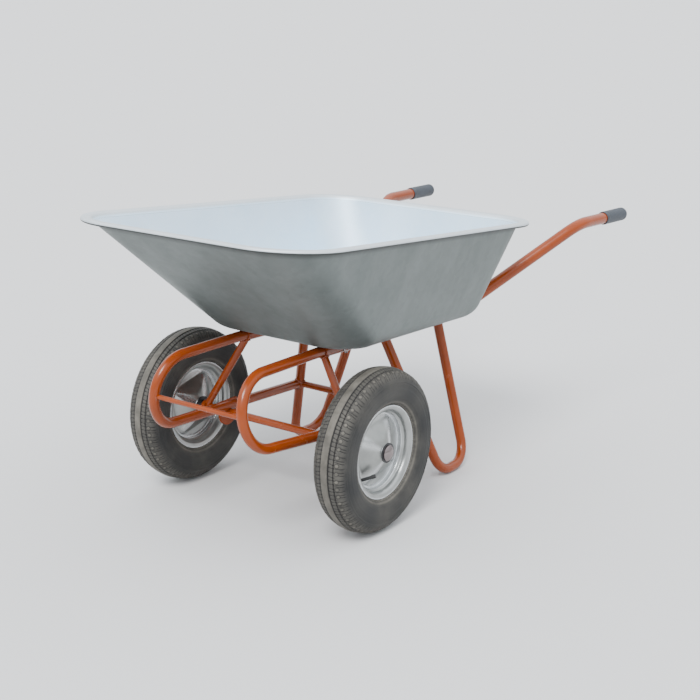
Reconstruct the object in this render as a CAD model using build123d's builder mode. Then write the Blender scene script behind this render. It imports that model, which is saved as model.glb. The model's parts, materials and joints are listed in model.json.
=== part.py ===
"""Two-wheeled garden barrow: steel tray on a bent-tube frame, two pneumatic wheels.

Millimetres.  +X is the way the barrow is pushed, +Y its left, +Z up, ground at Z = 0.
The row frame's origin is under the middle of the overall length, so lengths
along X are given from the wheel axle and moved by axle_x.
"""
import os
from build123d import *

os.makedirs("parts", exist_ok=True)

# ---- overall ------------------------------------------------------------
front_reach = 372.0  # axle to the tray rim's front edge
rear_reach = 1186.5  # axle to the grips' ends
axle_x = (rear_reach - front_reach) / 2
axle_height = 200.0
track = 584.0  # between the two wheels' middle planes


def at(x, y, z):
    """A point given as millimetres ahead of the axle, left of the middle, above the ground."""
    return Vector(axle_x + x, y, z)


# ---- tray ---------------------------------------------------------------
sheet = 1.2
rim_tilt = 5.31  # the tray falls towards the handles
rim_height = 696.2  # rim height at the middle of the tray
rim_mid = -160.2
rim_long = 1069.1
rim_front_half = 367.6
rim_rear_half = 358.1
rim_front_round = 160.7
rim_rear_round = 141.8
lip_reach = 30.0  # wall to the outside of the rolled edge
neck_drop = 12.0  # the wall turns outward this far below the rim
neck_reach = 11.0
lip_sheet = 2.0  # the rolled edge is drawn thicker, so it covers the wall's top
curl_radius = 5.0
curl_turn = 250.0
lip_flat = lip_reach - curl_radius
wall_inset = 1.6  # level difference between the tray's outer and inner walls
floor_tilt = 2.75
floor_height = 423.55  # underside of the floor where the hoops meet the rails
floor_mid = -298.5
floor_long = 628.0
floor_half = 241.5
floor_front_round = 119.0
floor_rear_round = 130.0
floor_bend = 55.0

# ---- frame tubes --------------------------------------------------------
rail_od = 32.0
hoop_od = 26.0
rail_wall = (rail_od - hoop_od) / 2  # the hoop's tail is a slide fit in the rail
tube_wall = 2.0
strut_od = 19.0
brace_od = 18.0
crossbar_od = 12.0
axle_od = 20.0
socket_x = -20.0  # where the hoop leaves the rail
socket_depth = 45.0
rail_y = 122.0
weld_bead = 1.5

# ---- tray fixings (M8) --------------------------------------------------
bolt_d = 8.0
bolt_clear = 0.5
bolt_head_d = 17.0
bolt_head_h = 4.5
bolt_y = 170.0
front_bolt_x = -52.0
rear_bolt_x = -520.0
rear_bolt_y = 80.0
washer_d = 22.0
washer_t = 1.6
nut_across = 13.0
nut_h = 6.5
tab_t = 4.0
tab_wide = 36.0
thread_out = 5.0
tab_long = 66.0

# ---- frame centre lines (left side) -------------------------------------
rail_front = at(socket_x, rail_y, 407.5)
rail_bend = at(-622, 124, 378.6)
handle_bend = at(-927, 327, 595)
handle_tip = at(-1182.5, 335.2, 585.7)
hoop_tail = rail_front + (rail_bend - rail_front).normalized() * socket_depth
hoop_mouth = rail_front - (rail_bend - rail_front).normalized() * 12
hoop_top = at(350.8, 123.9, 414.4)
hoop_bottom = at(259.9, 148.4, 240.4)
hoop_foot = at(-322.9, 191.2, 188.4)
hoop_radii = [100, 88, 84]
leg_front_top = at(-271, 123.5, 395.5)
leg_front_toe = at(-366.8, 245, hoop_od / 2)
leg_rear_toe = at(-491.8, 241.5, hoop_od / 2)
leg_rear_top = at(-522, 123.8, 383.4)
leg_radius = 60
brace_mid = at(-322.9, 0, 188.4)
brace_half = 191
crossbar_mid = at(291.5, 0, 327)
crossbar_half = 136
strut_top = at(-26, 122, 398)
strut_foot = at(-1.2, 234.9, 208.6)
bracket_y = 167.5
bracket_round = 33.0
bracket_t = 5.0
fixing_spots = [
    (front_bolt_x - floor_mid, bolt_y, 0),
    (front_bolt_x - floor_mid, -bolt_y, 0),
    (rear_bolt_x - floor_mid, rear_bolt_y, 0),
    (rear_bolt_x - floor_mid, -rear_bolt_y, 0),
]

# ---- wheels -------------------------------------------------------------
tyre_od = 400.0
tyre_width = 94.0
rim_seat = 101.6
rim_lip = 113.8
rim_half_width = 32.0
rim_sheet = 1.8
hub_od = 42.0
hub_id = 36.0
dish_base = 80.0
well_r = 93.5
bead_toe = 21.0
tread_t = 12.0
side_t = 6.0
groove_deep = 3.0
groove_wide = 3.0
groove_spots = [(-23.0, 5.0), (-9.0, 0.6), (9.0, 0.6), (23.0, 5.0)]  # offset, crown drop
tube_mid = 150.0
valve_d = 8.0
valve_angle = 38.0  # below straight ahead
valve_y = 9.5
valve_tip_r = 68.0
valve_tip_y = 38.0
bush_flange_d = 48.0
bush_flange_t = 3.0
hub_half = 39.4  # middle plane to the bush flange's face
bush_long = 24.0
running_gap = 0.05
side_gap = 0.3
cap_d = 39.0
cap_h = 10.0
spacer_d = 30.0
eye_y = 240.0
eye_wide = 10.0
eye_d = 33.0
wheel_y = track / 2
axle_half = wheel_y + hub_half + 4.0

# ---- grips --------------------------------------------------------------
grip_long = 117.0
grip_od = 38.0
grip_end = 4.0

floor_slope = Vector(1, 0, 0).rotate(Axis.Y, -floor_tilt)
floor_normal = Vector(0, 0, 1).rotate(Axis.Y, -floor_tilt)
rim_slope = Vector(1, 0, 0).rotate(Axis.Y, -rim_tilt)
rim_normal = Vector(0, 0, 1).rotate(Axis.Y, -rim_tilt)
floor_origin = at(socket_x, 0, floor_height) + floor_slope * (floor_mid - socket_x)
floor_plane = Plane(origin=floor_origin, x_dir=floor_slope, z_dir=floor_normal)
rim_plane = Plane(origin=at(rim_mid, 0, rim_height), x_dir=rim_slope, z_dir=rim_normal)


def keep(name, built):
    """Label the finished piece and write it out."""
    built.part.label = name
    export_step(built.part, "parts/" + name + ".step")


def tray_corners(long, front_half, rear_half):
    """Four corners of the tray's plan shape, front left first."""
    return [
        (long / 2, front_half),
        (-long / 2, rear_half),
        (-long / 2, -rear_half),
        (long / 2, -front_half),
    ]


def tray_shape(plane, long, front_half, rear_half, front_round, rear_round):
    """The tray's plan shape on a plane: a trapezoid with rounded corners."""
    with BuildSketch(plane) as shape:
        with BuildLine():
            FilletPolyline(
                *tray_corners(long, front_half, rear_half),
                radius=[front_round, rear_round, rear_round, front_round],
                close=True,
            )
        make_face()
    return shape.sketch


def tube(path, od, wall=0.0):
    """Sweep a round tube, or a bar when wall is 0, along a finished path."""
    with BuildSketch(Plane(origin=path.line @ 0, z_dir=path.line % 0)) as section:
        Circle(od / 2)
        if wall:
            Circle(od / 2 - wall, mode=Mode.SUBTRACT)
    sweep(section.sketch, path=path.line)


# =========================================================================
# tray
# =========================================================================
floor_shape = tray_shape(
    floor_plane, floor_long, floor_half, floor_half, floor_front_round, floor_rear_round
)
neck_plane = rim_plane.offset(-neck_drop)
mouth_shape = tray_shape(
    neck_plane,
    rim_long - 2 * lip_reach,
    rim_front_half - lip_reach,
    rim_rear_half - lip_reach,
    rim_front_round - lip_reach,
    rim_rear_round - lip_reach,
)
mouth_wire = mouth_shape.face().outer_wire()
lip_out = (mouth_wire % 0).cross(rim_normal)
lip_plane = Plane(origin=mouth_wire @ 0, x_dir=lip_out, z_dir=-(mouth_wire % 0))

floor_top_plane = floor_plane.offset(sheet)
floor_top = tray_shape(
    floor_top_plane,
    floor_long - 2 * wall_inset,
    floor_half - wall_inset,
    floor_half - wall_inset,
    floor_front_round - wall_inset,
    floor_rear_round - wall_inset,
)
mouth_inside = tray_shape(
    neck_plane,
    rim_long - 2 * lip_reach - 2 * wall_inset,
    rim_front_half - lip_reach - wall_inset,
    rim_rear_half - lip_reach - wall_inset,
    rim_front_round - lip_reach - wall_inset,
    rim_rear_round - lip_reach - wall_inset,
)

with BuildPart() as tray_hollow:
    loft([floor_top.face(), mouth_inside.face()], ruled=True)
    fillet(tray_hollow.faces().sort_by(Axis.Z)[0].edges(), floor_bend - sheet)

with BuildPart() as tray:
    loft([floor_shape.face(), mouth_shape.face()], ruled=True)
    fillet(tray.faces().sort_by(Axis.Z)[0].edges(), floor_bend)
    add(tray_hollow.part, mode=Mode.SUBTRACT)
    with BuildSketch(lip_plane) as lip:
        with BuildLine() as lip_line:
            Spline(
                (-wall_inset / 2, -0.2),
                (neck_reach, neck_drop - lip_sheet / 2),
                tangents=[(0.5, 0.87), (1, 0)],
            )
            Line((neck_reach, neck_drop - lip_sheet / 2), (lip_flat, neck_drop - lip_sheet / 2))
            CenterArc(
                (lip_flat, neck_drop - curl_radius),
                curl_radius - lip_sheet / 2,
                90,
                -curl_turn,
            )
        trace(line_width=lip_sheet)
    sweep(lip.sketch, path=mouth_wire)
    with Locations(*[floor_plane * Pos(*spot) for spot in fixing_spots]):
        Cylinder(bolt_d / 2 + bolt_clear, 4 * sheet, mode=Mode.SUBTRACT)
keep("tray", tray)

# =========================================================================
# rails, hoops and legs: the left ones drawn, the right ones mirrored
# =========================================================================
with BuildLine() as rail_path:
    FilletPolyline(rail_front, rail_bend, handle_bend, handle_tip, radius=[110, 100])

with BuildLine() as hoop_path:
    FilletPolyline(hoop_tail, hoop_mouth, hoop_top, hoop_bottom, hoop_foot, radius=hoop_radii)

with BuildLine() as leg_path:
    FilletPolyline(leg_front_top, leg_front_toe, leg_rear_toe, leg_rear_top, radius=leg_radius)

with BuildPart() as rail_solid:
    tube(rail_path, rail_od)

with BuildPart() as hoop_solid:
    tube(hoop_path, hoop_od)

with BuildPart() as leg_solid:
    tube(leg_path, hoop_od)

with BuildPart() as axle:
    with Locations(Pos(*at(0, 0, axle_height)) * Rot(90, 0, 0)):
        Cylinder(axle_od / 2, 2 * axle_half)
    chamfer(axle.edges().filter_by(GeomType.CIRCLE), 1.5)
keep("axle", axle)

with BuildPart() as left_rail:
    tube(rail_path, rail_od, rail_wall)
    with Locations(Plane(origin=rail_path.line @ 0, z_dir=rail_path.line % 0)):
        Torus(hoop_od / 2 + weld_bead, weld_bead)
        Cylinder(hoop_od / 2, 4 * weld_bead, mode=Mode.SUBTRACT)
keep("left_rail", left_rail)

with BuildPart() as left_hoop:
    tube(hoop_path, hoop_od, tube_wall)
    add(leg_solid.part, mode=Mode.SUBTRACT)
    add(axle.part, mode=Mode.SUBTRACT)
keep("left_hoop", left_hoop)

with BuildPart() as left_leg:
    tube(leg_path, hoop_od, tube_wall)
    add(rail_solid.part, mode=Mode.SUBTRACT)
keep("left_leg", left_leg)

# =========================================================================
# lateral members
# =========================================================================
with BuildPart() as leg_brace:
    with Locations(Pos(*brace_mid) * Rot(90, 0, 0)):
        Cylinder(brace_od / 2, 2 * brace_half)
        Cylinder(brace_od / 2 - tube_wall, 2 * brace_half, mode=Mode.SUBTRACT)
    for solid in (leg_solid, hoop_solid):
        add(solid.part, mode=Mode.SUBTRACT)
        mirror(solid.part, about=Plane.XZ, mode=Mode.SUBTRACT)
keep("leg_brace", leg_brace)

with BuildPart() as front_crossbar:
    with Locations(Pos(*crossbar_mid) * Rot(90, 0, 0)):
        Cylinder(crossbar_od / 2, 2 * crossbar_half)
    add(hoop_solid.part, mode=Mode.SUBTRACT)
    mirror(hoop_solid.part, about=Plane.XZ, mode=Mode.SUBTRACT)
keep("front_crossbar", front_crossbar)

with BuildPart() as left_axle_bracket:
    with BuildSketch(Plane.XZ.offset(-bracket_y)):
        with Locations((axle_x, axle_height)):
            Circle(bracket_round)
            Rectangle(2 * bracket_round, bracket_round, align=(Align.CENTER, Align.MIN))
            Circle(axle_od / 2, mode=Mode.SUBTRACT)
    extrude(amount=bracket_t / 2, both=True)
    add(hoop_solid.part, mode=Mode.SUBTRACT)
keep("left_axle_bracket", left_axle_bracket)

with BuildLine() as strut_path:
    Line(strut_top, strut_foot)

with BuildPart() as left_strut:
    tube(strut_path, strut_od, tube_wall)
    with Locations(Pos(*at(0, eye_y, axle_height)) * Rot(90, 0, 0)):
        Cylinder(eye_d / 2, eye_wide)
        Cylinder(axle_od / 2, 6 * eye_wide, mode=Mode.SUBTRACT)
    add(left_rail.part, mode=Mode.SUBTRACT)
    add(rail_solid.part, mode=Mode.SUBTRACT)
    add(hoop_solid.part, mode=Mode.SUBTRACT)
keep("left_strut", left_strut)

# =========================================================================
# tray fixings: an outboard tab on each rail in front, a strap behind
# =========================================================================
with BuildPart() as left_front_tab:
    with Locations(floor_plane * Pos(front_bolt_x - floor_mid, rail_y, -tab_t / 2)):
        Box(tab_wide, tab_long, tab_t, align=(Align.CENTER, Align.MIN, Align.CENTER))
    with Locations(floor_plane * Pos(*fixing_spots[0])):
        Cylinder(bolt_d / 2 + bolt_clear, 4 * tab_t, mode=Mode.SUBTRACT)
    add(rail_solid.part, mode=Mode.SUBTRACT)
keep("left_front_tab", left_front_tab)

with BuildPart() as rear_strap:
    with Locations(floor_plane * Pos(rear_bolt_x - floor_mid, 0, -tab_t / 2)):
        Box(tab_wide, 2 * rail_y, tab_t)
    with Locations(*[floor_plane * Pos(*spot) for spot in fixing_spots[2:]]):
        Cylinder(bolt_d / 2 + bolt_clear, 4 * tab_t, mode=Mode.SUBTRACT)
    add(rail_solid.part, mode=Mode.SUBTRACT)
    mirror(rail_solid.part, about=Plane.XZ, mode=Mode.SUBTRACT)
keep("rear_strap", rear_strap)

washer_top = -tab_t
nut_top = washer_top - washer_t
bolt_end = nut_top - nut_h - thread_out

with BuildPart() as bolt:
    with BuildSketch(Plane.XZ):
        with BuildLine():
            Polyline((0, bolt_end), (bolt_d / 2, bolt_end), (bolt_d / 2, sheet), (bolt_head_d / 2, sheet))
            TangentArc((0, sheet + bolt_head_h), (bolt_head_d / 2, sheet), tangent=(1, 0))
            Line((0, sheet + bolt_head_h), (0, bolt_end))
        make_face()
    revolve(axis=Axis.Z)

with BuildPart() as washer:
    with BuildSketch(Plane.XY.offset(washer_top)):
        Circle(washer_d / 2)
        Circle(bolt_d / 2 + bolt_clear, mode=Mode.SUBTRACT)
    extrude(amount=-washer_t)

with BuildPart() as nut:
    with BuildSketch(Plane.XY.offset(nut_top)):
        RegularPolygon(nut_across / 2, 6, major_radius=False)
        Circle(bolt_d / 2, mode=Mode.SUBTRACT)
    extrude(amount=-nut_h)

for name, one in (("tray_bolts", bolt), ("tray_washers", washer), ("tray_nuts", nut)):
    with BuildPart() as group:
        with Locations(*[floor_plane * Pos(*spot) for spot in fixing_spots]):
            add(one.part)
    keep(name, group)

# =========================================================================
# grips
# =========================================================================
grip_plane = Plane(origin=handle_tip, z_dir=handle_tip - handle_bend)
with BuildPart() as left_grip:
    with BuildSketch(grip_plane.offset(grip_end)):
        Circle(grip_od / 2)
    extrude(amount=-grip_long)
    fillet(left_grip.edges().group_by(Axis.X)[0], 3)
    with BuildSketch(grip_plane):
        Circle(rail_od / 2)
    extrude(amount=-grip_long, mode=Mode.SUBTRACT)
keep("left_grip", left_grip)

# =========================================================================
# left wheel: sections drawn with the radius across and the outboard side up
# =========================================================================
wheel_centre = at(0, wheel_y, axle_height)
wheel_section = Plane(origin=wheel_centre, x_dir=(0, 0, 1), z_dir=(-1, 0, 0))
wheel_axis = Axis(wheel_centre, (0, 1, 0))
hub_end = hub_half - bush_flange_t
tyre_r = tyre_od / 2
half_wide = tyre_width / 2
flange_in = rim_half_width - 2.6
seat_line = rim_seat - rim_sheet / 2


def wheel_ring(inner_r, outer_r, low, high, mode=Mode.ADD):
    """A plain ring about the wheel axis between two distances outboard of the middle plane."""
    with BuildSketch(Plane(origin=wheel_centre + Vector(0, low, 0), z_dir=(0, 1, 0))) as ring:
        Circle(outer_r)
        Circle(inner_r, mode=Mode.SUBTRACT)
    extrude(ring.sketch, amount=high - low, mode=mode)


with BuildPart() as left_tyre:
    with BuildSketch(wheel_section):
        with BuildLine():
            Polyline(
                (rim_seat, bead_toe),
                (rim_seat, flange_in - 2.6),
                (rim_seat + 2.8, flange_in),
                (rim_lip - 1, flange_in),
            )
            Spline(
                (rim_lip - 1, flange_in),
                (rim_lip + 18, half_wide - 3.2),
                (0.75 * tyre_r, half_wide),
                (0.85 * tyre_r, half_wide - 1.8),
                (0.925 * tyre_r, half_wide - 8),
                (0.975 * tyre_r, 0.5 * half_wide),
                (tyre_r, 0),
                tangents=[(0.6, 0.8), (0, -1)],
            )
            Line((tyre_r, 0), (tyre_r - tread_t, 0))
            Spline(
                (tyre_r - tread_t, 0),
                (0.91 * tyre_r, 0.64 * half_wide),
                (0.85 * tyre_r, half_wide - side_t - 1.5),
                (0.75 * tyre_r, half_wide - side_t),
                (rim_lip + 14, half_wide - side_t - 4),
                (rim_seat, bead_toe),
                tangents=[(0, 1), (-0.8, -0.6)],
            )
        make_face()
        mirror(about=Plane.XZ)
    revolve(axis=wheel_axis)
    for middle, fall in groove_spots:
        wheel_ring(
            tyre_r - groove_deep - fall,
            tyre_r + 1,
            middle - groove_wide / 2,
            middle + groove_wide / 2,
            mode=Mode.SUBTRACT,
        )
keep("left_tyre", left_tyre)

with BuildPart() as left_inner_tube:
    with Locations(Plane(origin=wheel_centre, z_dir=(0, 1, 0))):
        Torus(tube_mid, tyre_r - tread_t - tube_mid)
        Torus(tube_mid, tyre_r - tread_t - tube_mid - side_t / 3, mode=Mode.SUBTRACT)
keep("left_inner_tube", left_inner_tube)

with BuildPart() as rim_half:
    with BuildSketch(wheel_section) as rim_profile:
        with BuildLine():
            Polyline(
                (hub_od / 2 + rim_sheet / 2, hub_end - 0.4),
                (hub_od / 2 + rim_sheet / 2, hub_end - 5),
                (dish_base, 5),
                (dish_base + 8, rim_sheet / 2),
                (well_r, rim_sheet / 2),
                (well_r, 14.5),
                (seat_line, bead_toe - 2.5),
                (seat_line, flange_in - 1.2),
                (seat_line + 2.5, flange_in + rim_sheet / 2),
                (rim_lip - 1.8, flange_in + rim_sheet / 2),
                (rim_lip - rim_sheet / 2, rim_half_width),
            )
        trace(line_width=rim_sheet)
    revolve(axis=wheel_axis)

valve_out = Vector(1, 0, 0).rotate(Axis.Y, valve_angle)


def beside_rim(r, y):
    """A point in the valve's own half-plane, by radius and distance outboard."""
    return wheel_centre + valve_out * r + Vector(0, y, 0)


with BuildLine() as valve_path:
    FilletPolyline(
        beside_rim(well_r + 21.5, valve_y),
        beside_rim(well_r - 5.5, valve_y),
        beside_rim(valve_tip_r, valve_tip_y),
        radius=9,
    )

with BuildPart() as left_outer_rim:
    add(rim_half.part)
    with Locations(Plane(origin=beside_rim(well_r, valve_y), z_dir=valve_out)):
        Cylinder(valve_d / 2 + 0.3, 6, mode=Mode.SUBTRACT)
keep("left_outer_rim", left_outer_rim)

with BuildPart() as left_inner_rim:
    mirror(rim_half.part, about=Plane(origin=wheel_centre, z_dir=(0, 1, 0)))
keep("left_inner_rim", left_inner_rim)

with BuildPart() as left_hub:
    wheel_ring(hub_id / 2, hub_od / 2, -hub_end, hub_end)
keep("left_hub", left_hub)

bore = axle_od / 2 + running_gap
with BuildPart() as left_outer_bush:
    wheel_ring(bore, hub_id / 2, hub_end - bush_long, hub_end)
    wheel_ring(bore, bush_flange_d / 2, hub_end, hub_half)
keep("left_outer_bush", left_outer_bush)

with BuildPart() as left_inner_bush:
    mirror(left_outer_bush.part, about=Plane(origin=wheel_centre, z_dir=(0, 1, 0)))
keep("left_inner_bush", left_inner_bush)

with BuildPart() as left_valve_stem:
    tube(valve_path, valve_d)
    with Locations(Plane(origin=wheel_centre, z_dir=(0, 1, 0))):
        Torus(tube_mid, tyre_r - tread_t - tube_mid, mode=Mode.SUBTRACT)
keep("left_valve_stem", left_valve_stem)

valve_end = Plane(origin=valve_path.line @ 1, z_dir=valve_path.line % 1)
with BuildPart() as left_valve_cap:
    with BuildSketch(valve_end.offset(-6)):
        Circle(valve_d / 2 + 1)
    extrude(amount=9)
    with BuildSketch(valve_end.offset(-6)):
        Circle(valve_d / 2)
    extrude(amount=6, mode=Mode.SUBTRACT)
keep("left_valve_cap", left_valve_cap)

# =========================================================================
# what holds the wheel along the axle
# =========================================================================
cap_face = hub_half + side_gap
with BuildPart() as left_axle_cap:
    with BuildSketch(wheel_section):
        with BuildLine():
            Polyline((0, cap_face), (cap_d / 2, cap_face), (cap_d / 2, cap_face + 2.5))
            TangentArc((0, cap_face + cap_h), (cap_d / 2, cap_face + 2.5), tangent=(1, 0))
            Line((0, cap_face + cap_h), (0, cap_face))
        make_face()
    revolve(axis=wheel_axis)
    add(axle.part, mode=Mode.SUBTRACT)
keep("left_axle_cap", left_axle_cap)

with BuildPart() as left_spacer:
    wheel_ring(axle_od / 2, spacer_d / 2, eye_y + eye_wide / 2 - wheel_y, -hub_half - side_gap)
keep("left_spacer", left_spacer)

# =========================================================================
# right-hand pieces
# =========================================================================
left_pieces = {
    "rail": left_rail,
    "hoop": left_hoop,
    "leg": left_leg,
    "axle_bracket": left_axle_bracket,
    "strut": left_strut,
    "front_tab": left_front_tab,
    "grip": left_grip,
    "tyre": left_tyre,
    "inner_tube": left_inner_tube,
    "outer_rim": left_outer_rim,
    "inner_rim": left_inner_rim,
    "hub": left_hub,
    "outer_bush": left_outer_bush,
    "inner_bush": left_inner_bush,
    "valve_stem": left_valve_stem,
    "valve_cap": left_valve_cap,
    "axle_cap": left_axle_cap,
    "spacer": left_spacer,
}
for name, left_piece in left_pieces.items():
    with BuildPart() as right_piece:
        mirror(left_piece.part, about=Plane.XZ)
    keep("right_" + name, right_piece)
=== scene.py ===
"""Looks for the garden barrow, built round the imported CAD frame.  Metres, row frame."""
import json
import math

import bpy
import numpy as np
from mathutils import Matrix, Vector


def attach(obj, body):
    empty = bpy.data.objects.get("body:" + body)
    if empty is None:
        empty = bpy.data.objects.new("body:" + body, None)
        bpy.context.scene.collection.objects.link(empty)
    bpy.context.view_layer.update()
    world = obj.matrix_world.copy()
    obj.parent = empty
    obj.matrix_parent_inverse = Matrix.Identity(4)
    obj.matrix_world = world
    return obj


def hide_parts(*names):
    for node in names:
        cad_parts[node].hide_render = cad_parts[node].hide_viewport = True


MM = 0.001
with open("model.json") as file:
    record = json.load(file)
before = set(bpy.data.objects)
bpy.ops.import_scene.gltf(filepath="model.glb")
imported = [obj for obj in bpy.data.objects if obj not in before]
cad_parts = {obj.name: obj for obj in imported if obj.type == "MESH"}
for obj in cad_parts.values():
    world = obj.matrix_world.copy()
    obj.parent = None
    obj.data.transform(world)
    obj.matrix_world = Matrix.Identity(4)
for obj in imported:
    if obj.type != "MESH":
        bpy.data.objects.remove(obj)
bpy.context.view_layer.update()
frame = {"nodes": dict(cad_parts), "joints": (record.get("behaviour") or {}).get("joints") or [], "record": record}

# ---------------------------------------------------------------- mesh tools


def mesh_piece(name, points, faces, body, material, attributes=None):
    """A smooth mesh from points in the row frame that rides on a body."""
    mesh = bpy.data.meshes.new(name)
    mesh.from_pydata([tuple(p) for p in points], [], faces)
    mesh.validate()
    for key, values in (attributes or {}).items():
        layer = mesh.attributes.new(key, "FLOAT", "POINT")
        layer.data.foreach_set("value", np.asarray(values, dtype=np.float32).ravel())
    mesh.polygons.foreach_set("use_smooth", [True] * len(mesh.polygons))
    mesh.materials.append(material)
    piece = bpy.data.objects.new(name, mesh)
    bpy.context.collection.objects.link(piece)
    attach(piece, body)
    return piece


def grid_faces(rows, columns, wrap_rows=False, wrap_columns=True, flip=False):
    """Quads over a rows x columns grid of points."""
    faces = []
    for i in range(rows if wrap_rows else rows - 1):
        a = i * columns
        b = ((i + 1) % rows) * columns
        for j in range(columns if wrap_columns else columns - 1):
            k = (j + 1) % columns
            quad = (a + j, a + k, b + k, b + j)
            faces.append(quad[::-1] if flip else quad)
    return faces


def unit(v):
    """The vector scaled to length 1."""
    v = np.asarray(v, dtype=float)
    return v / np.linalg.norm(v)


def smooth_step(low, high, x):
    """0 below low, 1 above high, and eased between."""
    t = np.clip((np.asarray(x, dtype=float) - low) / (high - low), 0, 1)
    return t * t * (3 - 2 * t)


def soft_min(a, b, width):
    """The smaller of two heights, rounded over where they meet."""
    h = np.clip(0.5 + 0.5 * (b - a) / width, 0, 1)
    return b * (1 - h) + a * h - width * h * (1 - h)


WHEELS = {j["child"]: Vector(j["pos_m"]) for j in frame["joints"]}
AXLE_X = WHEELS["left_wheel"].x

# ---------------------------------------------------------------- materials


def shader(name, color, metallic=0.0, roughness=0.5, coat=0.0, coat_roughness=0.05):
    material = bpy.data.materials.new(name)
    material.use_nodes = True
    tree = material.node_tree
    bsdf = tree.nodes["Principled BSDF"]
    bsdf.inputs["Base Color"].default_value = (*color, 1)
    bsdf.inputs["Metallic"].default_value = metallic
    bsdf.inputs["Roughness"].default_value = roughness
    bsdf.inputs["Coat Weight"].default_value = coat
    bsdf.inputs["Coat Roughness"].default_value = coat_roughness
    return material, tree, bsdf


def coords(tree, scale=(1, 1, 1)):
    source = tree.nodes.new("ShaderNodeTexCoord")
    mapping = tree.nodes.new("ShaderNodeMapping")
    mapping.inputs["Scale"].default_value = scale
    tree.links.new(source.outputs["Object"], mapping.inputs["Vector"])
    return mapping.outputs["Vector"]


def noise(tree, scale, detail=4.0, roughness=0.55, stretch=(1, 1, 1), distortion=0.0):
    node = tree.nodes.new("ShaderNodeTexNoise")
    node.inputs["Scale"].default_value = scale
    node.inputs["Detail"].default_value = detail
    node.inputs["Roughness"].default_value = roughness
    node.inputs["Distortion"].default_value = distortion
    tree.links.new(coords(tree, stretch), node.inputs["Vector"])
    return node.outputs["Fac"]


def ramp(tree, value, stops):
    """Map a 0-1 value through (position, colour) stops."""
    node = tree.nodes.new("ShaderNodeValToRGB")
    elements = node.color_ramp.elements
    while len(elements) < len(stops):
        elements.new(0.5)
    for element, (position, color) in zip(elements, stops):
        element.position = position
        element.color = (*color, 1)
    tree.links.new(value, node.inputs["Fac"])
    return node.outputs["Color"]


def spread(tree, value, low, high, from_low=0.3, from_high=0.7):
    """Map a noise value to a number between low and high."""
    node = tree.nodes.new("ShaderNodeMapRange")
    node.inputs["From Min"].default_value = from_low
    node.inputs["From Max"].default_value = from_high
    node.inputs["To Min"].default_value = low
    node.inputs["To Max"].default_value = high
    tree.links.new(value, node.inputs["Value"])
    return node.outputs["Result"]


def blend_colors(tree, factor, a, b, mode="MIX"):
    node = tree.nodes.new("ShaderNodeMix")
    node.data_type = "RGBA"
    node.blend_type = mode
    for socket, value in ((node.inputs[0], factor), (node.inputs[6], a), (node.inputs[7], b)):
        if isinstance(value, bpy.types.NodeSocket):
            tree.links.new(value, socket)
        elif isinstance(value, tuple):
            socket.default_value = (*value, 1)
        else:
            socket.default_value = value
    return node.outputs[2]


def bump(tree, bsdf, layers):
    """Stack bump layers of (height, strength, distance) onto the shader."""
    normal = None
    for height, strength, distance in layers:
        node = tree.nodes.new("ShaderNodeBump")
        node.inputs["Strength"].default_value = strength
        node.inputs["Distance"].default_value = distance
        tree.links.new(height, node.inputs["Height"])
        if normal:
            tree.links.new(normal, node.inputs["Normal"])
        normal = node.outputs["Normal"]
    tree.links.new(normal, bsdf.inputs["Normal"])


def attribute(tree, name):
    node = tree.nodes.new("ShaderNodeAttribute")
    node.attribute_name = name
    return node.outputs["Fac"]


def voronoi(tree, scale):
    """Flat cells of random colour, for the zinc spangle."""
    node = tree.nodes.new("ShaderNodeTexVoronoi")
    node.inputs["Scale"].default_value = scale
    tree.links.new(coords(tree), node.inputs["Vector"])
    return node.outputs["Color"]


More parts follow.
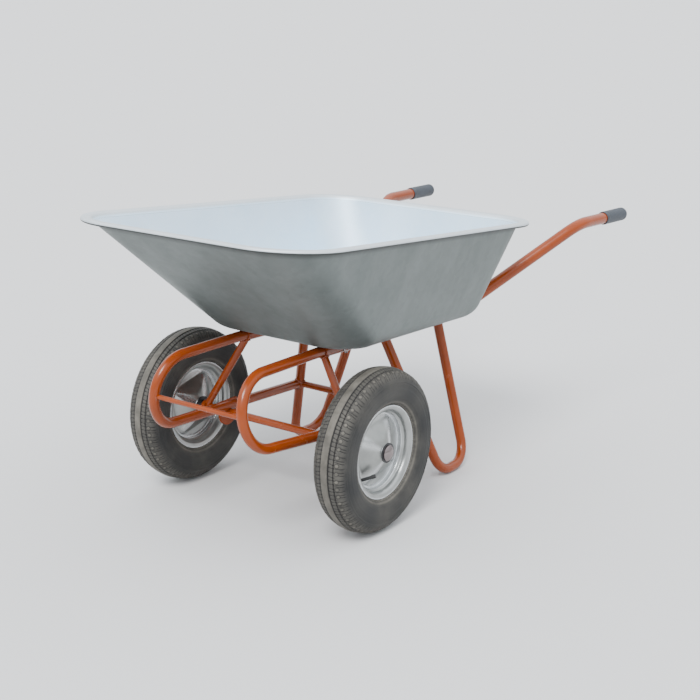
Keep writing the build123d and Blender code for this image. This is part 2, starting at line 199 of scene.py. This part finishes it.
def galvanised_material():
    """Zinc sheet, streaked: dark grey outside as painted shade, pale and bluish inside as a painted sky
    reflection, with a painted shadow under the rolled lip and painted shade on the lip.
    """
    material, tree, bsdf = shader("galvanised_sheet", (0.5, 0.53, 0.54), 0.62, 0.4)
    geometry = tree.nodes.new("ShaderNodeNewGeometry")
    facing = tree.nodes.new("ShaderNodeSeparateXYZ")
    tree.links.new(geometry.outputs["Normal"], facing.inputs[0])
    up = facing.outputs["Z"]
    # painted light: faces turned up get the pale bluish colour of a painted sky reflection, faces turned down the
    # dark grey of painted shade
    inside = spread(tree, up, 0, 1, -0.06, 0.06)
    place = tree.nodes.new("ShaderNodeVectorMath")
    place.operation = "DOT_PRODUCT"
    source = tree.nodes.new("ShaderNodeTexCoord")
    tree.links.new(source.outputs["Object"], place.inputs[0])
    place.inputs[1].default_value = (-RIM_SLOPE, 0, 1)
    below = place.outputs["Value"]
    # painted shadow under the rolled lip and painted shade on the lip, set by height below the rim's plane
    under_lip_shadow = spread(tree, below, 0, 1, *(RIM_LEVEL - drop for drop in UNDER_LIP_SHADOW_DROPS))
    on_lip_shade = spread(tree, below, 0, 1, *(RIM_LEVEL - drop for drop in ON_LIP_SHADE_DROPS))
    streak = noise(tree, 8, 4, 0.5, (2.2, 2.2, 0.35), 0.2)
    cloud = noise(tree, 5, 4, 0.5)
    gray = tree.nodes.new("ShaderNodeRGBToBW")
    tree.links.new(voronoi(tree, 70), gray.inputs[0])
    # dark grey outside: the zinc's own streaks, darkened as painted shade
    outer = ramp(tree, streak, [(0.25, (0.140, 0.161, 0.156)), (0.75, (0.180, 0.203, 0.198))])
    # painted shadow: near-black on the outside just under the rolled lip
    outer = blend_colors(tree, under_lip_shadow, outer, (0.055, 0.060, 0.058))
    # pale bluish inside: the zinc's own clouding, lightened as a painted sky reflection
    inner = ramp(tree, cloud, [(0.3, (0.66, 0.82, 0.95)), (0.7, (0.76, 0.90, 1.0))])
    # painted shade: up-facing zinc on the lip drawn greyer than the inside
    inner = blend_colors(tree, on_lip_shade, inner, (0.64, 0.69, 0.72))
    base = blend_colors(tree, inside, outer, inner)
    base = blend_colors(tree, 0.06, base, gray.outputs[0], "OVERLAY")
    tree.links.new(base, bsdf.inputs["Base Color"])
    tree.links.new(spread(tree, cloud, 0.47, 0.58), bsdf.inputs["Roughness"])
    soft = noise(tree, 7, 1, 0.4, (1.4, 1.4, 0.5))
    bump(tree, bsdf, [(soft, 0.08, 0.004), (noise(tree, 260, 3), 0.05, 0.0006)])
    return material


def paint_material():
    """Glossy orange-brown enamel with a little wear."""
    material, tree, bsdf = shader("frame_enamel", (0.27, 0.042, 0.002), 0.0, 0.2, 0.12, 0.06)
    tone = noise(tree, 16, 5, 0.6)
    base = ramp(tree, tone, [(0.3, (0.212, 0.033, 0.0015)), (0.7, (0.262, 0.042, 0.0021))])
    wear = noise(tree, 75, 6, 0.68)
    bsdf.inputs["Specular IOR Level"].default_value = 0.36
    speck = spread(tree, wear, 0, 0.8, 0.70, 0.78)
    base = blend_colors(tree, speck, base, (0.11, 0.024, 0.008))
    tree.links.new(base, bsdf.inputs["Base Color"])
    tree.links.new(spread(tree, tone, 0.17, 0.28), bsdf.inputs["Roughness"])
    bump(
        tree,
        bsdf,
        [(noise(tree, 55, 2), 0.10, 0.0010), (noise(tree, 420, 2), 0.04, 0.0003)],
    )
    return material


def weld_material():
    """The same enamel over a rougher weld bead."""
    material, tree, bsdf = shader("weld_enamel", (0.24, 0.035, 0.003), 0.0, 0.18, 0.4, 0.05)
    tone = noise(tree, 120, 3)
    tree.links.new(
        ramp(tree, tone, [(0.3, (0.18, 0.028, 0.002)), (0.7, (0.26, 0.045, 0.004))]),
        bsdf.inputs["Base Color"],
    )
    bump(tree, bsdf, [(noise(tree, 700, 2), 0.2, 0.0006)])
    return material


def zinc_material(name, color, roughness, ripple=0.10, grain=0.02):
    """Plated metal, for the small parts."""
    material, tree, bsdf = shader(name, color, 0.95, roughness)
    tone = noise(tree, 22, 5, 0.6)
    dark = tuple(c * 0.80 for c in color)
    light = tuple(min(1, c * 1.14) for c in color)
    tree.links.new(ramp(tree, tone, [(0.3, dark), (0.7, light)]), bsdf.inputs["Base Color"])
    tree.links.new(
        spread(tree, noise(tree, 30, 2), roughness * 0.85, roughness * 1.2),
        bsdf.inputs["Roughness"],
    )
    soft = noise(tree, 20, 1)
    fine = noise(tree, 300, 1)
    bump(tree, bsdf, [(soft, ripple, 0.0014), (fine, grain, 0.0001)])
    return material


def rim_material():
    """Bright pressed zinc: dull and dusty on the dish's flats, lighter on the ridges, barrel and lip as painted
    highlight and reflection.
    """
    material, tree, bsdf = shader("rim_zinc", (0.6, 0.61, 0.61), 0.92, 0.2)
    film = noise(tree, 26, 5, 0.6)
    dull = ramp(tree, film, [(0.3, (0.230, 0.235, 0.222)), (0.7, (0.300, 0.306, 0.290))])
    bright = ramp(tree, film, [(0.3, (0.62, 0.64, 0.65)), (0.7, (0.78, 0.80, 0.82))])
    polish_and_sheen = attribute(tree, "polish_and_sheen")
    # base colour runs from dusty flats to bright zinc: partly dust, partly painted highlight and reflection on the
    # ridges, barrel and lip
    tree.links.new(blend_colors(tree, polish_and_sheen, dull, bright), bsdf.inputs["Base Color"])
    rough = tree.nodes.new("ShaderNodeMapRange")
    rough.inputs["To Min"].default_value = 0.34
    rough.inputs["To Max"].default_value = 0.17
    tree.links.new(polish_and_sheen, rough.inputs["Value"])
    tree.links.new(rough.outputs["Result"], bsdf.inputs["Roughness"])
    soft = noise(tree, 22, 1)
    bump(tree, bsdf, [(soft, 0.10, 0.0014), (noise(tree, 240, 1), 0.02, 0.0001)])
    return material


def tyre_material():
    """Black rubber, dusty where "dust" says so, and darkened where "depth" says so as painted shade in the grooves
    and cuts.
    """
    material, tree, bsdf = shader("tyre_rubber", (0.06, 0.062, 0.065), 0.0, 0.62)
    grime = noise(tree, 40, 6, 0.62)
    rubber = ramp(tree, grime, [(0.3, (0.009, 0.010, 0.011)), (0.7, (0.022, 0.023, 0.024))])
    dusty = ramp(tree, grime, [(0.3, (0.105, 0.096, 0.080)), (0.7, (0.205, 0.188, 0.158))])
    dust = attribute(tree, "dust")
    patchy = tree.nodes.new("ShaderNodeMath")
    patchy.operation = "MULTIPLY"
    tree.links.new(dust, patchy.inputs[0])
    tree.links.new(spread(tree, noise(tree, 14, 5, 0.6), 0.55, 1.0), patchy.inputs[1])
    base = blend_colors(tree, patchy.outputs[0], rubber, dusty)
    # painted shade: grooves and cuts of the tread darkened by their depth
    shade = attribute(tree, "depth")
    base = blend_colors(tree, shade, base, (0.008, 0.008, 0.009))
    tree.links.new(base, bsdf.inputs["Base Color"])
    tree.links.new(spread(tree, grime, 0.5, 0.75), bsdf.inputs["Roughness"])
    bsdf.inputs["Specular IOR Level"].default_value = 0.32
    bump(tree, bsdf, [(noise(tree, 320, 4), 0.22, 0.0005)])
    return material


def rubber_material(name, color, roughness, grain=350):
    """Plain rubber or plastic, mottled a little."""
    material, tree, bsdf = shader(name, color, 0.0, roughness)
    tone = noise(tree, 45, 5, 0.6)
    dark = tuple(c * 0.75 for c in color)
    light = tuple(c * 1.35 for c in color)
    tree.links.new(ramp(tree, tone, [(0.3, dark), (0.7, light)]), bsdf.inputs["Base Color"])
    tree.links.new(spread(tree, tone, roughness * 0.85, roughness * 1.15), bsdf.inputs["Roughness"])
    bump(tree, bsdf, [(noise(tree, grain, 3), 0.2, 0.0005)])
    return material


# the rim's plane: its tilt, its height at the tray's middle, and how far that is behind the axle
RIM_TILT = math.radians(5.31)
RIM_HEIGHT = 0.6962
RIM_MIDDLE = 0.1602
RIM_SLOPE = math.tan(RIM_TILT)
RIM_LEVEL = RIM_HEIGHT - RIM_SLOPE * (AXLE_X - RIM_MIDDLE)
# how far below the rim's plane the painted shadow under the lip and the painted shade on the lip start and end
UNDER_LIP_SHADOW_DROPS = (0.026, 0.012)
ON_LIP_SHADE_DROPS = (0.009, 0.005)
GALVANISED = galvanised_material()
PAINT = paint_material()
WELD = weld_material()
RIM_ZINC = rim_material()
PART_ZINC = zinc_material("part_zinc", (0.24, 0.205, 0.205), 0.20, 0.04)
TYRE = tyre_material()
GRIP = rubber_material("grip_rubber", (0.032, 0.039, 0.050), 0.5)
BLACK = rubber_material("black_plastic", (0.018, 0.018, 0.02), 0.42)
VALVE = rubber_material("valve_rubber", (0.02, 0.02, 0.021), 0.5)

SLOT_MATERIAL = {
    "galvanised": GALVANISED,
    "frame_paint": PAINT,
    "zinc_rim": RIM_ZINC,
    "zinc_part": PART_ZINC,
    "tyre": TYRE,
    "tube_rubber": VALVE,
    "grip_rubber": GRIP,
    "black_plastic": BLACK,
    "valve_rubber": VALVE,
}
for entry in frame["record"]["subparts"]:
    node = frame["nodes"][entry["node"]]
    for place in node.material_slots:
        place.material = SLOT_MATERIAL[entry["material_slot"]]

# ---------------------------------------------------------------- wheels

# lengths in this section are mm until wheel_points or the last step of make_tyre
RIM_SEAT = 0.1016  # metres
BEAD = (101.8, 22.9)  # radius and distance outboard of the tyre's foot
BEAD_INSIDE = 22.5
PITCHES = 126  # tread pitches round the tyre
PITCH_STEPS = 10
TREAD_START = 62  # along the profile, where the fine steps begin
WALL_STEP = 2.2
TREAD_STEP = 1.1
# distance from the middle, half width and depth
GROOVES = ((11.2, 1.6, 3.2), (24.0, 1.4, 3.0))
STUD_MIDDLE = 31.0
STUD_PITCH = 9.7
CUT_DEPTH = 1.3
# radius, half width and height of the moulded rings
SIDEWALL_RINGS = (
    (171.5, 1.6, 1.1),
    (156.0, 1.3, 0.8),
    (152.5, 0.9, 0.4),
    (134.0, 1.2, 0.6),
    (122.0, 1.8, 1.1),
    (116.5, 1.3, 0.9),
)


def wheel_points(centre, side, radius, angle, out):
    """Row-frame points from radius, angle (0 ahead, 90 up) and distance outboard."""
    x = centre.x + radius * np.cos(angle)
    y = centre.y + side * out
    z = centre.z + radius * np.sin(angle)
    return np.stack(np.broadcast_arrays(x, y, z), -1)


def tyre_profile():
    """Outboard half of the tyre's outside, bead first: radius and distance outboard, in mm."""
    knots = np.array(
        [
            (102.6, 24.4),
            (104.4, 26.8),
            (107.6, 28.3),
            (112.4, 29.2),
            (115.6, 31.8),
            (121.0, 37.4),
            (132.0, 43.4),
            (142.0, 46.2),
            (150.0, 47.0),
            (160.0, 46.7),
            (170.0, 45.2),
            (178.0, 42.9),
            (185.0, 38.9),
            (190.5, 33.8),
            (195.0, 26.0),
            (198.2, 14.5),
            (199.6, 6.0),
            (200.0, 0.0),
        ]
    )
    step = np.r_[0, np.cumsum(np.linalg.norm(np.diff(knots, axis=0), axis=1))]
    wall = np.arange(0, TREAD_START, WALL_STEP)
    tread = np.arange(TREAD_START, step[-1], TREAD_STEP)
    fine = np.r_[wall, tread, step[-1]]
    # Catmull-Rom through the knots keeps the section round
    out = []
    for s in fine:
        i = min(max(np.searchsorted(step, s) - 1, 0), len(knots) - 2)
        t = (s - step[i]) / (step[i + 1] - step[i])
        p0 = knots[max(i - 1, 0)]
        p1 = knots[i]
        p2 = knots[i + 1]
        p3 = knots[i + 2] if i + 2 < len(knots) else np.array([knots[i][0], -knots[i][1]])
        out.append(
            0.5
            * (
                2 * p1
                + (p2 - p0) * t
                + (2 * p0 - 5 * p1 + 4 * p2 - p3) * t**2
                + (3 * p1 - p0 - 3 * p2 + p3) * t**3
            )
        )
    return np.array(out)


def tread_height(r, y, turn):
    """Height of the moulded detail in mm, by profile point and pitch count round the tyre."""
    across = np.abs(y)
    height = np.zeros(np.broadcast(across, turn).shape)
    phase = turn + np.where(y > 0, 0.5, 0.0)
    lean = np.where(np.floor(phase) % 3 == 0, 0.035, 0.012)
    cut = np.abs((phase + lean * (across - 11)) % 1.0 - 0.5)
    slot = 1 - smooth_step(0.10, 0.20, cut)
    # two grooves a side, each widened by a notch at every pitch
    for middle, half, deep in GROOVES:
        wide = half + 1.1 * slot
        height = height - deep * (1 - smooth_step(wide * 0.6, wide, np.abs(across - middle)))
    # cuts right across the rib between them
    inner_rib = smooth_step(13.0, 14.0, across) * (1 - smooth_step(21.5, 22.5, across))
    height = height - CUT_DEPTH * inner_rib * (1 - smooth_step(0.05, 0.13, cut))
    # round studs on the shoulder, every other pitch
    stud_turn = (phase / 2.0) % 1.0 - 0.5
    stud = np.hypot(stud_turn * 2 * STUD_PITCH, (across - STUD_MIDDLE) * 1.1)
    on_stud = 1 - smooth_step(3.2, 4.2, stud)
    ring = 1 - smooth_step(0.5, 1.1, np.abs(stud - 4.9))
    shoulder = smooth_step(26.0, 27.0, across) * (1 - smooth_step(42.0, 44.0, across))
    # bars down the shoulder to the sidewall
    bars = shoulder * (r > 172) * (1 - smooth_step(0.06, 0.15, cut)) * (1 - on_stud)
    height = height - CUT_DEPTH * np.maximum(bars, 0.8 * ring * shoulder)
    height = height + 0.35 * on_stud * shoulder
    # fine radial ribs, then moulded rings, on the sidewall
    fine = 0.5 + 0.5 * np.cos(2 * math.pi * 2 * turn)
    band = smooth_step(158, 161, r) * (1 - smooth_step(166.5, 168, r)) * (across > 36)
    height = height + 0.5 * band * fine
    wall_side = np.clip(smooth_step(36, 40, across) + (r < 125), 0, 1)
    for middle, half, tall in SIDEWALL_RINGS:
        height = height + tall * wall_side * (1 - smooth_step(half * 0.4, half, np.abs(r - middle)))
    return height


def make_tyre(body, centre, side):
    """The tyre with its moulded tread and sidewall, in place of the plain CAD tyre."""
    half = tyre_profile()
    outside = np.vstack([half, (half * [1, -1])[-2::-1]])
    inside = []
    for t in np.linspace(-1, 1, 17):
        inside.append((186 - 62 * abs(t) ** 3.2, 40.0 * math.sin(t * 1.57)))
    inside[0] = (RIM_SEAT / MM + 0.2, -BEAD_INSIDE)
    inside[-1] = (RIM_SEAT / MM + 0.2, BEAD_INSIDE)
    inside = np.array(inside)
    beads = [np.array([[BEAD[0], -BEAD[1]]]), np.array([[BEAD[0], BEAD[1]]])]
    tangent = np.gradient(outside, axis=0)
    normal = np.stack([-tangent[:, 1], tangent[:, 0]], -1)
    normal /= np.linalg.norm(normal, axis=1)[:, None]
    middle = len(outside) // 2
    if normal[middle, 0] < 0:
        normal = -normal
    columns = PITCHES * PITCH_STEPS
    turn = np.arange(columns) / PITCH_STEPS
    angle = turn / PITCHES * 2 * math.pi
    lift = tread_height(outside[:, :1], outside[:, 1:], turn[None, :])
    r = outside[:, :1] + normal[:, :1] * lift
    y = outside[:, 1:] + normal[:, 1:] * lift
    # outside runs +y bead to -y bead; close through the -y bead, the inside and the +y bead
    r_rest = np.concatenate([beads[0], inside, beads[1]])[:, :1]
    y_rest = np.concatenate([beads[0], inside, beads[1]])[:, 1:]
    r_all = np.vstack([r, np.repeat(r_rest, columns, 1)]) * MM
    y_all = np.vstack([y, np.repeat(y_rest, columns, 1)]) * MM
    points = wheel_points(centre, side, r_all, angle[None, :], y_all)
    across = np.abs(outside[:, 1:])
    dust = np.zeros((len(r_all), columns))
    tread = 1 - smooth_step(36, 46, across)
    rib = 1 - smooth_step(8.5, 10.0, across)
    grimy = 0.5 + 0.5 * np.cos(angle * 3 + 0.7) * np.cos(angle * 5 - 1.9)
    low_wall = 0.22 * grimy[None, :] * (1 - tread) * smooth_step(122, 140, outside[:, :1])
    studs = 0.35 * smooth_step(0.1, 0.3, lift) * tread
    dust[: len(outside)] = np.clip(0.46 * rib + 0.40 * tread + low_wall + 0.05 + studs, 0, 1)
    # painted shade: the tread's grooves, cuts and slots darkened by how deep they are
    depth = np.zeros_like(dust)
    depth[: len(outside)] = 0.9 * smooth_step(0.4, 1.5, -lift)
    faces = grid_faces(len(r_all), columns, wrap_rows=True, flip=side < 0)
    piece = mesh_piece(
        body.replace("wheel", "tyre_tread"),
        points.reshape(-1, 3),
        faces,
        body,
        TYRE,
        {"dust": dust, "depth": depth},
    )
    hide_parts(body.replace("wheel", "tyre"))


# the four flats' directions round the axle, and the dish's sizes in mm
FACETS = [math.radians(a) for a in (-12, 78, 168, 258)]
DISH_INNER = 23.0
DISH_OUTER = 84.0
DISH_TOP = 32.5
DISH_FALL = 0.44
FLAT_START = 30.0
FLAT_TOP = 30.5
FLAT_FALL = 0.80
DISH_FLOOR = 1.8
# barrel, bead seat and rolled flange: radius and distance outboard
RIM_WALL = [
    (86.5, 1.5),
    (89.0, 1.2),
    (91.0, 1.3),
    (92.3, 2.0),
    (93.0, 3.4),
    (93.2, 6.0),
    (93.2, 10.6),
    (93.5, 12.2),
    (94.6, 13.6),
    (97.6, 15.4),
    (98.9, 16.6),
    (99.6, 18.4),
    (99.9, 21.0),
    (100.4, 23.6),
    (101.6, 26.2),
    (103.8, 28.5),
    (107.0, 30.2),
    (110.4, 31.0),
    (112.6, 31.3),
    (113.5, 31.7),
    (113.8, 32.2),
    (113.3, 32.5),
    (112.5, 32.3),
]
HUB_FLANGE = ((21.3, 35.8), (21.3, 33.4))
RIM_COLUMNS = 216
RIM_SHEET = 1.5


def dish_height(r, angle):
    """Height in mm of the pressed dish above the middle plane: a cone with four flats."""
    height = DISH_TOP - (r - DISH_INNER) * DISH_FALL
    for middle in FACETS:
        along = r * np.cos(angle - middle)
        flat = FLAT_TOP - (along - FLAT_START) * FLAT_FALL
        height = soft_min(height, flat, 2.0)
    base = np.full_like(height, DISH_FLOOR)
    return -soft_min(-height, -base, 2.2)


def rim_polish_and_sheen(r, angle):
    """How bright the zinc is drawn: dull flats and flange, partly dust, and brighter ridges, barrel and lip as
    painted highlight and reflection.
    """
    along = np.max([r * np.cos(angle - middle) for middle in FACETS], axis=0)
    ridge = 1 - smooth_step(0.72, 0.90, along / np.maximum(r, 1))
    cone = 0.12 + 0.55 * ridge
    barrel = 0.35 + 0.5 * smooth_step(84, 90, r)
    flange = 0.22 + 0.7 * smooth_step(110.5, 113, r)
    return np.where(r > 94, flange, cone + (barrel - cone) * smooth_step(66, 80, r))


def make_rim(body, centre, side, out, name):
    """One pressed half of the rim: dish, well, bead seat and rolled flange."""
    angle = np.arange(RIM_COLUMNS) / RIM_COLUMNS * 2 * math.pi
    level = np.full(RIM_COLUMNS, 1.0)
    rings = [(level * r, level * y) for r, y in HUB_FLANGE]
    for r in np.linspace(DISH_INNER, DISH_OUTER, 44):
        rings.append((level * r, dish_height(level * r, angle)))
    rings += [(level * r, level * y) for r, y in RIM_WALL]
    r = np.array([ring[0] for ring in rings]) * MM
    y = np.array([ring[1] for ring in rings]) * MM * out
    # partly dust, partly painted highlight and reflection, stored per point
    polish_and_sheen = rim_polish_and_sheen(r / MM, angle[None, :])
    points = wheel_points(centre, side, r, angle[None, :], y)
    faces = grid_faces(len(rings), RIM_COLUMNS, flip=(side * out) > 0)
    polish_and_sheen_layers = {"polish_and_sheen": polish_and_sheen}
    piece = mesh_piece(name, points.reshape(-1, 3), faces, body, RIM_ZINC, polish_and_sheen_layers)
    thick = piece.modifiers.new("sheet", "SOLIDIFY")
    thick.thickness = RIM_SHEET * MM
    thick.offset = -1
    return piece


for body, centre in WHEELS.items():
    side = 1 if centre.y > 0 else -1
    make_tyre(body, centre, side)
    for half, out in (("outer", 1), ("inner", -1)):
        piece = make_rim(body, centre, side, out, body.replace("wheel", half + "_rim_pressing"))
        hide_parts(body.replace("wheel", half + "_rim"))

# ---------------------------------------------------------------- frame details


def at(x, y, z):
    """Row-frame metres for a point in mm ahead of the axle, left of the middle, above ground."""
    return np.array([AXLE_X + x * MM, y * MM, z * MM])


def across_axis(direction):
    """Two unit vectors square to a direction and to each other."""
    direction = unit(direction)
    helper = (0, 0, 1) if abs(direction[2]) < 0.8 else (1, 0, 0)
    u = unit(np.cross(direction, helper))
    return u, np.cross(direction, u)


def saddle(start, towards, radius, other_start, other_end, other_radius, count=72):
    """Closed line where a tube's surface meets the near side of another tube."""
    d = unit(towards - start)
    u, v = across_axis(d)
    w = unit(other_end - other_start)
    line = []
    for phi in np.arange(count) / count * 2 * math.pi:
        p = start + radius * (math.cos(phi) * u + math.sin(phi) * v) - other_start
        flat_p = p - np.dot(p, w) * w
        flat_d = d - np.dot(d, w) * w
        a = np.dot(flat_d, flat_d)
        b = np.dot(flat_p, flat_d)
        c = np.dot(flat_p, flat_p) - other_radius**2
        t = (-b + math.sqrt(max(b * b - a * c, 0))) / a
        line.append(other_start + p + t * d)
    return np.array(line)


def bead_mesh(line, middle, radius, sides=10, ripple=0.16, ripples=14):
    """Points and faces of a rippled bead along a closed line."""
    count = len(line)
    ahead = np.roll(line, -1, 0) - np.roll(line, 1, 0)
    points = []
    for i in range(count):
        d = unit(ahead[i])
        u = unit(line[i] - middle - np.dot(line[i] - middle, d) * d)
        v = np.cross(d, u)
        size = radius * (1 + ripple * math.sin(2 * math.pi * ripples * i / count))
        for phi in np.arange(sides) / sides * 2 * math.pi:
            points.append(line[i] + size * (math.cos(phi) * u + math.sin(phi) * v))
    return points, grid_faces(count, sides, wrap_rows=True)


# each tube: two points on its centre line and its radius
RAIL = (at(-20, 122, 407.5), at(-622, 124, 378.6), 16 * MM)
HOOP_NOSE = (at(350.8, 123.9, 414.4), at(259.9, 148.4, 240.4), 13 * MM)
LEG = (at(-271, 123.5, 395.5), at(-366.8, 245, 13), 13 * MM)
# tube end, a point further along it, its radius, and the tube that it is welded to
WELDS = [
    (at(-26, 122, 398), at(-1.2, 234.9, 208.6), 9.5 * MM, RAIL),
    (at(-271, 123.5, 395.5), at(-366.8, 245, 13), 13 * MM, RAIL),
    (at(-522, 123.8, 383.4), at(-491.8, 241.5, 13), 13 * MM, RAIL),
    (at(-322.9, 189.3, 188.4), at(-322.9, 0, 188.4), 9 * MM, LEG),
    (at(-322.9, 191.2, 188.4), at(259.9, 148.4, 240.4), 13 * MM, LEG),
    (at(291.5, 138, 327), at(291.5, 0, 327), 6 * MM, HOOP_NOSE),
]


BEAD_SIZE = 2.4 * MM
BEAD_GAP = 0.6 * MM


def make_welds():
    """One piece with a bead round each welded tube end, both sides."""
    points = []
    faces = []
    for side in (1, -1):
        mirror = np.array([1, side, 1])
        for start, towards, radius, other in WELDS:
            line = saddle(start, towards, radius + BEAD_GAP, *other)
            bead, bead_faces = bead_mesh(line, line.mean(0), BEAD_SIZE)
            offset = len(points)
            points += [p * mirror for p in bead]
            for face in bead_faces:
                face = face if side > 0 else face[::-1]
                faces.append(tuple(offset + k for k in face))
    mesh_piece("frame_weld_beads", points, faces, "frame", WELD)


GRIP_REACH = 0.0598  # from the grip mount's middle to the grip's end
GRIP_COLUMNS = 192
# distance back from the tip and radius, both in mm
GRIP_MOUTH = [(119.0, 16.2), (120.2, 16.8), (120.4, 17.7), (119.4, 18.4), (117.0, 18.8)]
GRIP_BARREL = [(back, 18.9) for back in np.arange(114.0, 9.0, -1.25)]
GRIP_DOME = [(7.0, 18.6), (4.6, 17.8), (2.4, 16.2), (0.9, 13.6), (0.2, 10.0), (0.0, 5.0), (0.0, 0.6)]
GRIP_RIBS = 48
RIB_DEPTH = 0.22
RIB_INSET = 0.25
RING_PITCH = 7.5
RING_DEPTH = 0.45


def make_grip(name):
    """A rubber sleeve: thin rolled mouth, fine lengthwise ribs and a domed end."""
    mount = next(m for m in frame["record"]["mounts"] if m["name"] == name)
    tip = np.array(mount["pos_m"]) + unit(mount["axis"]) * GRIP_REACH
    axis = unit(mount["axis"])
    u, v = across_axis(axis)
    profile = GRIP_MOUTH + GRIP_BARREL + GRIP_DOME
    angle = np.arange(GRIP_COLUMNS) / GRIP_COLUMNS * 2 * math.pi
    points = []
    for back, radius in profile:
        ribbed = 1.0 if 14 < back < 108 else 0.0
        ring = RING_DEPTH * max(0.0, math.cos(2 * math.pi * back / RING_PITCH)) * ribbed
        for phi in angle:
            rib = RIB_DEPTH * ribbed * math.cos(GRIP_RIBS * phi)
            r = (radius - RIB_INSET * ribbed + rib - ring) * MM
            points.append(tip - axis * back * MM + r * (math.cos(phi) * u + math.sin(phi) * v))
    faces = grid_faces(len(profile), GRIP_COLUMNS)
    last = (len(profile) - 1) * GRIP_COLUMNS
    faces.append(tuple(range(last, last + GRIP_COLUMNS)))
    piece = mesh_piece(name + "_sleeve", points, faces, "frame", GRIP)
    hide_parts(name)


make_grip("left_grip")
make_grip("right_grip")
make_welds()

# ---------------------------------------------------------------- stage, light, camera


FLOOR_HALF = 60
FLOOR_COLOR = (0.62, 0.62, 0.62)
SKY_STRENGTH = 2.1
KEY_TOWARDS = (0.80, 0.25, 1.0)
KEY_STRENGTH = 3.2
KEY_SPREAD = 24  # degrees
# the camera: lens and sensor in mm, angles, distance and aim in metres from the axle
LENS = 71.55
SENSOR = 36
CAMERA_AZIMUTH = math.radians(126.388)
CAMERA_ELEVATION = math.radians(16.583)
CAMERA_DISTANCE = 4.39918
CAMERA_AIM = (-0.87516, -0.42482, 0.10910)


def stage():
    """A plain pale floor."""
    mesh = bpy.data.meshes.new("floor")
    signs = ((-1, -1), (1, -1), (1, 1), (-1, 1))
    corners = [(x * FLOOR_HALF, y * FLOOR_HALF, 0) for x, y in signs]
    mesh.from_pydata(corners, [], [(0, 1, 2, 3)])
    floor = bpy.data.objects.new("floor", mesh)
    bpy.context.collection.objects.link(floor)
    material, tree, bsdf = shader("floor_paint", FLOOR_COLOR, 0.0, 0.9)
    mesh.materials.append(material)


def sun_light(name, towards, strength, spread_degrees):
    """A wide soft light shining from a direction."""
    data = bpy.data.lights.new(name, "SUN")
    data.energy = strength
    data.angle = math.radians(spread_degrees)
    light = bpy.data.objects.new(name, data)
    light.rotation_euler = Vector(towards).to_track_quat("Z", "Y").to_euler()
    bpy.context.collection.objects.link(light)


def sky():
    """A soft sky, brighter overhead."""
    world = bpy.data.worlds.new("studio")
    bpy.context.scene.world = world
    world.use_nodes = True
    tree = world.node_tree
    background = tree.nodes["Background"]
    source = tree.nodes.new("ShaderNodeTexCoord")
    split = tree.nodes.new("ShaderNodeSeparateXYZ")
    tree.links.new(source.outputs["Generated"], split.inputs[0])
    height = spread(tree, split.outputs["Z"], 0, 1, -0.1, 1.0)
    color = ramp(
        tree,
        height,
        [(0.0, (0.42, 0.42, 0.41)), (0.30, (0.58, 0.60, 0.62)), (0.75, (1.0, 1.04, 1.09))],
    )
    tree.links.new(color, background.inputs["Color"])
    background.inputs["Strength"].default_value = SKY_STRENGTH


stage()
sky()
sun_light("key", KEY_TOWARDS, KEY_STRENGTH, KEY_SPREAD)

camera_data = bpy.data.cameras.new("camera")
camera_data.sensor_width = SENSOR
camera_data.lens = LENS
camera_data.clip_end = 200
camera = bpy.data.objects.new("camera", camera_data)
back = Vector(
    (
        math.sin(CAMERA_AZIMUTH) * math.cos(CAMERA_ELEVATION),
        -math.cos(CAMERA_AZIMUTH) * math.cos(CAMERA_ELEVATION),
        math.sin(CAMERA_ELEVATION),
    )
)
right = Vector((0, 0, 1)).cross(back).normalized()
up = back.cross(right)
turned = Matrix((right, up, back)).transposed().to_4x4()
aim = Vector((AXLE_X + CAMERA_AIM[0], CAMERA_AIM[1], CAMERA_AIM[2]))
camera.matrix_world = Matrix.Translation(aim + back * CAMERA_DISTANCE) @ turned
bpy.context.collection.objects.link(camera)
bpy.context.scene.camera = camera
